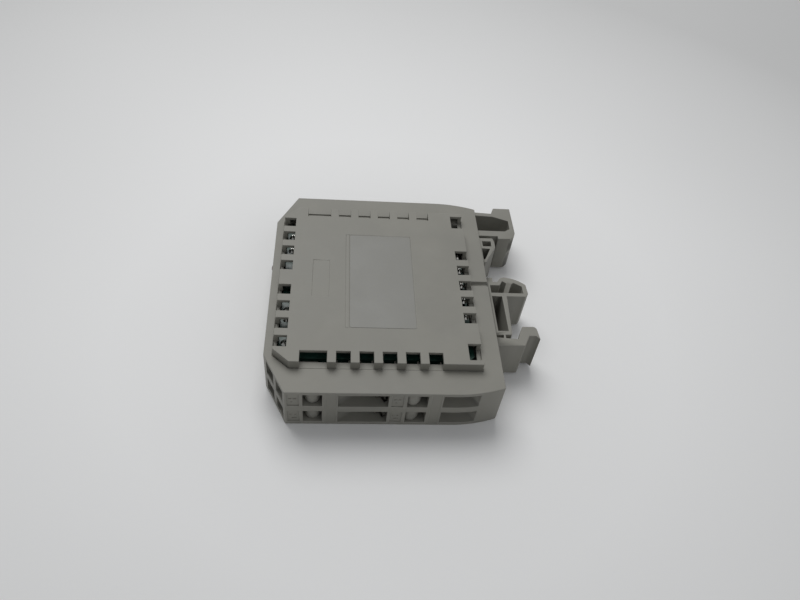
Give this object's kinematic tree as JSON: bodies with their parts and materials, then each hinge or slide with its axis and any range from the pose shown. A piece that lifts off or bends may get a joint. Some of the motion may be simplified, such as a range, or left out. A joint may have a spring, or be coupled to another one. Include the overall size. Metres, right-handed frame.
{
  "type": "industrial control relay",
  "caption": "Slim rail-mounted relay module: grey moulded shell with castellated side cover, screw-clamp openings on both edges and a snap rail foot.",
  "frame": {"origin": "centre of the overall box in X and Y, on the surface that the module's closed side rests on", "axes": "+X from the module's front face to its rail foot, +Y along the module's height from the fixed hook to the sprung latch, +Z across its width, out of the side cover"},
  "size_m": [0.065, 0.0636, 0.0147],
  "materials": {
    "grey_housing_plastic": "fine-grained moulded polyamide, warm light grey",
    "nickel_screw": "nickel-plated steel with a slotted head",
    "zinc_steel": "zinc-plated folded steel",
    "tinned_brass": "tin-plated brass strip",
    "green_board": "glass-epoxy laminate with dark green solder mask",
    "solder": "bright tin solder",
    "resistor_body": "beige lacquer",
    "diode_body": "black epoxy with tinned leads",
    "capacitor_sleeve": "shrunk dark sleeve over an aluminium can",
    "moulded_epoxy": "black moulded epoxy",
    "red_lens": "red diffused lens",
    "relay_cover_plastic": "black moulded cover",
    "relay_base_plastic": "black moulded base",
    "bobbin_plastic": "natural moulded nylon",
    "copper_winding": "enamelled copper wire",
    "soft_iron": "nickel-flashed soft iron",
    "spring_steel": "spring steel strip",
    "card_plastic": "natural moulded nylon",
    "contact_bronze": "copper-alloy strip with silver contact rivets"
  },
  "bodies": {
    "module": {"back_inner_lower_contact_bar": "tinned_brass", "back_inner_upper_contact_bar": "tinned_brass", "back_outer_lower_contact_bar": "tinned_brass", "back_outer_upper_contact_bar": "tinned_brass", "bridge_rectifier": "moulded_epoxy", "circuit_board": "green_board", "coil_bobbin": "bobbin_plastic", "coil_resistor": "resistor_body", "coil_terminals": "tinned_brass", "coil_winding": "copper_winding", "common_terminal": "tinned_brass", "freewheel_diode": "diode_body", "front_inner_lower_contact_bar": "tinned_brass", "front_inner_upper_contact_bar": "tinned_brass", "front_outer_lower_contact_bar": "tinned_brass", "front_outer_upper_contact_bar": "tinned_brass", "housing": "grey_housing_plastic", "indicator_resistor": "resistor_body", "relay_base": "relay_base_plastic", "relay_case": "relay_cover_plastic", "relay_core": "soft_iron", "relay_yoke": "soft_iron", "rest_contact": "contact_bronze", "return_spring": "spring_steel", "smoothing_capacitor": "capacitor_sleeve", "solder_joints": "solder", "status_light": "red_lens", "supply_diode": "diode_body", "work_contact": "contact_bronze"},
    "front_outer_lower_screw": {"front_outer_lower_screw": "nickel_screw"},
    "front_outer_lower_cage": {"front_outer_lower_cage": "zinc_steel"},
    "front_outer_upper_screw": {"front_outer_upper_screw": "nickel_screw"},
    "front_outer_upper_cage": {"front_outer_upper_cage": "zinc_steel"},
    "front_inner_lower_screw": {"front_inner_lower_screw": "nickel_screw"},
    "front_inner_lower_cage": {"front_inner_lower_cage": "zinc_steel"},
    "front_inner_upper_screw": {"front_inner_upper_screw": "nickel_screw"},
    "front_inner_upper_cage": {"front_inner_upper_cage": "zinc_steel"},
    "back_outer_lower_screw": {"back_outer_lower_screw": "nickel_screw"},
    "back_outer_lower_cage": {"back_outer_lower_cage": "zinc_steel"},
    "back_outer_upper_screw": {"back_outer_upper_screw": "nickel_screw"},
    "back_outer_upper_cage": {"back_outer_upper_cage": "zinc_steel"},
    "back_inner_lower_screw": {"back_inner_lower_screw": "nickel_screw"},
    "back_inner_lower_cage": {"back_inner_lower_cage": "zinc_steel"},
    "back_inner_upper_screw": {"back_inner_upper_screw": "nickel_screw"},
    "back_inner_upper_cage": {"back_inner_upper_cage": "zinc_steel"},
    "rail_latch": {"rail_latch": "grey_housing_plastic"},
    "side_cover": {"side_cover": "grey_housing_plastic"},
    "armature": {"armature": "soft_iron"},
    "driver_card": {"driver_card": "card_plastic"},
    "contact_blade": {"contact_blade": "contact_bronze"}
  },
  "joints": [
    {"name": "front_outer_lower_screw_turn", "type": "hinge", "parent": "module", "child": "front_outer_lower_screw", "pos_m": [-0.0211, -0.02465, 0.0031], "axis": [-1, 0, 0], "range_deg": [0, 1285]},
    {"name": "front_outer_lower_cage_lift", "type": "slide", "parent": "module", "child": "front_outer_lower_cage", "axis": [1, 0, 0], "range_m": [0, 0.0016]},
    {"name": "front_outer_upper_screw_turn", "type": "hinge", "parent": "module", "child": "front_outer_upper_screw", "pos_m": [-0.0211, -0.02465, 0.0093], "axis": [-1, 0, 0], "range_deg": [0, 1285]},
    {"name": "front_outer_upper_cage_lift", "type": "slide", "parent": "module", "child": "front_outer_upper_cage", "axis": [1, 0, 0], "range_m": [0, 0.0016]},
    {"name": "front_inner_lower_screw_turn", "type": "hinge", "parent": "module", "child": "front_inner_lower_screw", "pos_m": [-0.0014, -0.0258, 0.0031], "axis": [-0.866, -0.5, 0], "range_deg": [0, 1285]},
    {"name": "front_inner_lower_cage_lift", "type": "slide", "parent": "module", "child": "front_inner_lower_cage", "axis": [0.866, 0.5, 0], "range_m": [0, 0.0016]},
    {"name": "front_inner_upper_screw_turn", "type": "hinge", "parent": "module", "child": "front_inner_upper_screw", "pos_m": [-0.0014, -0.0258, 0.0093], "axis": [-0.866, -0.5, 0], "range_deg": [0, 1285]},
    {"name": "front_inner_upper_cage_lift", "type": "slide", "parent": "module", "child": "front_inner_upper_cage", "axis": [0.866, 0.5, 0], "range_m": [0, 0.0016]},
    {"name": "back_outer_lower_screw_turn", "type": "hinge", "parent": "module", "child": "back_outer_lower_screw", "pos_m": [-0.0211, 0.02465, 0.0031], "axis": [-1, 0, 0], "range_deg": [0, 1285]},
    {"name": "back_outer_lower_cage_lift", "type": "slide", "parent": "module", "child": "back_outer_lower_cage", "axis": [1, 0, 0], "range_m": [0, 0.0016]},
    {"name": "back_outer_upper_screw_turn", "type": "hinge", "parent": "module", "child": "back_outer_upper_screw", "pos_m": [-0.0211, 0.02465, 0.0093], "axis": [-1, 0, 0], "range_deg": [0, 1285]},
    {"name": "back_outer_upper_cage_lift", "type": "slide", "parent": "module", "child": "back_outer_upper_cage", "axis": [1, 0, 0], "range_m": [0, 0.0016]},
    {"name": "back_inner_lower_screw_turn", "type": "hinge", "parent": "module", "child": "back_inner_lower_screw", "pos_m": [-0.0014, 0.0258, 0.0031], "axis": [-0.866, 0.5, 0], "range_deg": [0, 1285]},
    {"name": "back_inner_lower_cage_lift", "type": "slide", "parent": "module", "child": "back_inner_lower_cage", "axis": [0.866, -0.5, 0], "range_m": [0, 0.0016]},
    {"name": "back_inner_upper_screw_turn", "type": "hinge", "parent": "module", "child": "back_inner_upper_screw", "pos_m": [-0.0014, 0.0258, 0.0093], "axis": [-0.866, 0.5, 0], "range_deg": [0, 1285]},
    {"name": "back_inner_upper_cage_lift", "type": "slide", "parent": "module", "child": "back_inner_upper_cage", "axis": [0.866, -0.5, 0], "range_m": [0, 0.0016]},
    {"name": "latch_slide", "type": "slide", "parent": "module", "child": "rail_latch", "axis": [0, 1, 0], "range_m": [0, 0.0015], "stiffness_N_per_m": 3000},
    {"name": "cover_lift_off", "type": "slide", "parent": "module", "child": "side_cover", "axis": [0, 0, 1], "range_m": [0, 0.025]},
    {"name": "armature_tilt", "type": "hinge", "parent": "module", "child": "armature", "pos_m": [0.0105, 0.0036, 0.0054], "axis": [0, 0, 1], "range_deg": [0, 5], "stiffness_Nm_per_rad": 0.02, "springref_deg": -2.86},
    {"name": "card_slide", "type": "slide", "parent": "module", "child": "driver_card", "axis": [0, -1, 0], "range_m": [0, 0.0007]},
    {"name": "blade_swing", "type": "hinge", "parent": "module", "child": "contact_blade", "pos_m": [0.015, 0.008, 0.0054], "axis": [0, 0, 1], "range_deg": [0, 3.3]}
  ],
  "couplings": [
    {"joint": "front_outer_lower_screw_turn", "follows": "front_outer_lower_cage_lift", "rad_per_m": 13963},
    {"joint": "front_outer_upper_screw_turn", "follows": "front_outer_upper_cage_lift", "rad_per_m": 13963},
    {"joint": "front_inner_lower_screw_turn", "follows": "front_inner_lower_cage_lift", "rad_per_m": 13963},
    {"joint": "front_inner_upper_screw_turn", "follows": "front_inner_upper_cage_lift", "rad_per_m": 13963},
    {"joint": "back_outer_lower_screw_turn", "follows": "back_outer_lower_cage_lift", "rad_per_m": 13963},
    {"joint": "back_outer_upper_screw_turn", "follows": "back_outer_upper_cage_lift", "rad_per_m": 13963},
    {"joint": "back_inner_lower_screw_turn", "follows": "back_inner_lower_cage_lift", "rad_per_m": 13963},
    {"joint": "back_inner_upper_screw_turn", "follows": "back_inner_upper_cage_lift", "rad_per_m": 13963},
    {"joint": "armature_tilt", "follows": "card_slide", "rad_per_m": 124.69},
    {"joint": "blade_swing", "follows": "card_slide", "rad_per_m": 79.8}
  ]
}
